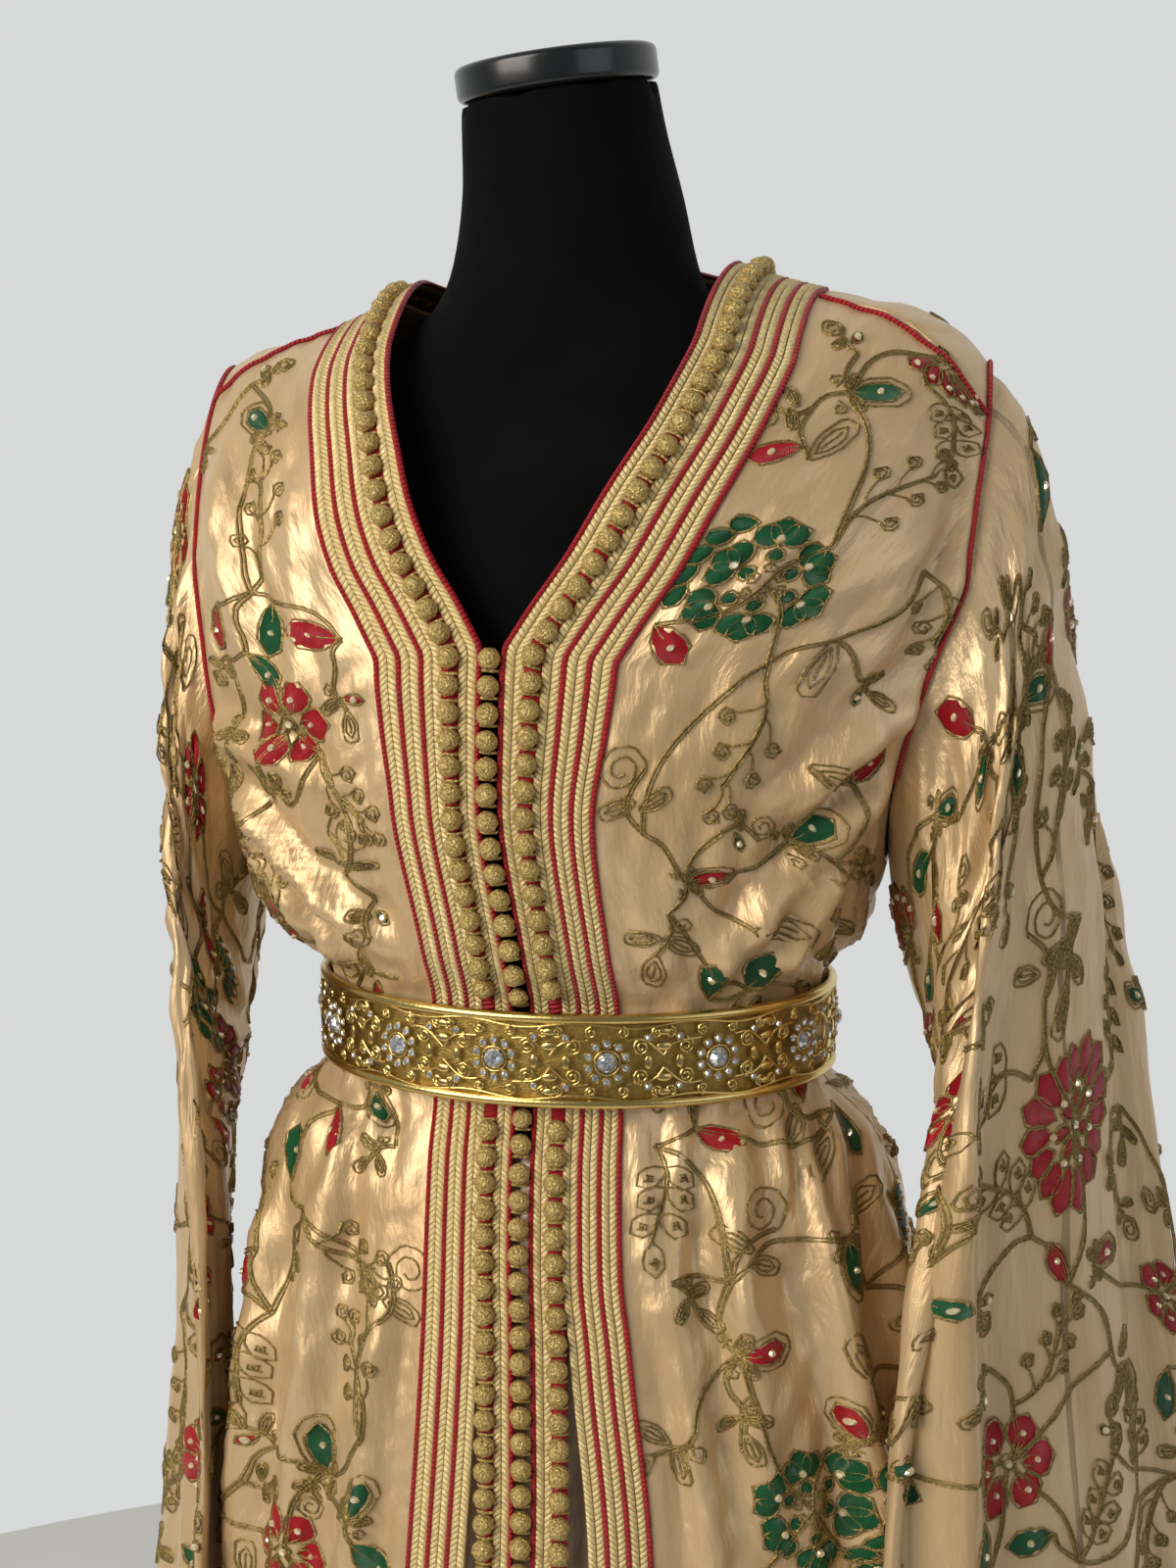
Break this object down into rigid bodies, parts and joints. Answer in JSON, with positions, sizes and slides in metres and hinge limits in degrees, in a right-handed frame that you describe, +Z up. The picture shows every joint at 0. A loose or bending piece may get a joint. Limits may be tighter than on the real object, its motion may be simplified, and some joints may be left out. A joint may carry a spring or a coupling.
{
  "type": "kaftan on a limbless dress form",
  "caption": "Long open-front satin kaftan with braided edges, ball buttons and a metal belt, worn on a limbless dress form on a round stand.",
  "frame": {"origin": "middle of the underside of the round base", "axes": "+Z up along the pole, the garment's front towards -Y, the viewer's right (the garment's left sleeve) towards +X"},
  "size_m": [0.6236, 0.4896, 1.5074],
  "materials": {
    "gold_satin": "satin",
    "inner_satin": "satin",
    "gold_braid": "metallic thread",
    "red_cord": "twisted silk",
    "button_thread": "metallic thread",
    "belt_gold": "polished",
    "crystal": "faceted",
    "black_jersey": "matte",
    "cap_plastic": "gloss",
    "stand_metal": "satin"
  },
  "bodies": {
    "root": {"back": "gold_satin", "front_left": "gold_satin", "front_right": "gold_satin", "sleeve_left": "gold_satin", "sleeve_right": "gold_satin", "inner_panel": "inner_satin", "braid_1": "gold_braid", "braid_2": "gold_braid", "braid_3": "gold_braid", "braid_4": "gold_braid", "cord_1": "red_cord", "cord_2": "red_cord", "cord_3": "red_cord", "cord_4": "red_cord", "shoulder_cord_left": "red_cord", "shoulder_cord_right": "red_cord", "armhole_cord_left": "red_cord", "armhole_cord_right": "red_cord", "button_row_middle": "button_thread", "button_row_neck": "button_thread", "belt_band": "belt_gold", "belt_rim_low": "belt_gold", "belt_rim_high": "belt_gold", "belt_clasp": "belt_gold", "belt_stone_01": "crystal", "belt_stone_02": "crystal", "belt_stone_03": "crystal", "belt_stone_04": "crystal", "belt_stone_05": "crystal", "belt_stone_06": "crystal", "belt_stone_07": "crystal", "belt_stone_08": "crystal", "belt_stone_09": "crystal", "belt_stone_10": "crystal", "belt_stone_11": "crystal", "belt_stone_12": "crystal", "belt_stone_13": "crystal", "form_torso": "black_jersey", "neck_cap": "cap_plastic", "stand_pole": "stand_metal", "stand_base": "stand_metal"}
  },
  "joints": []
}
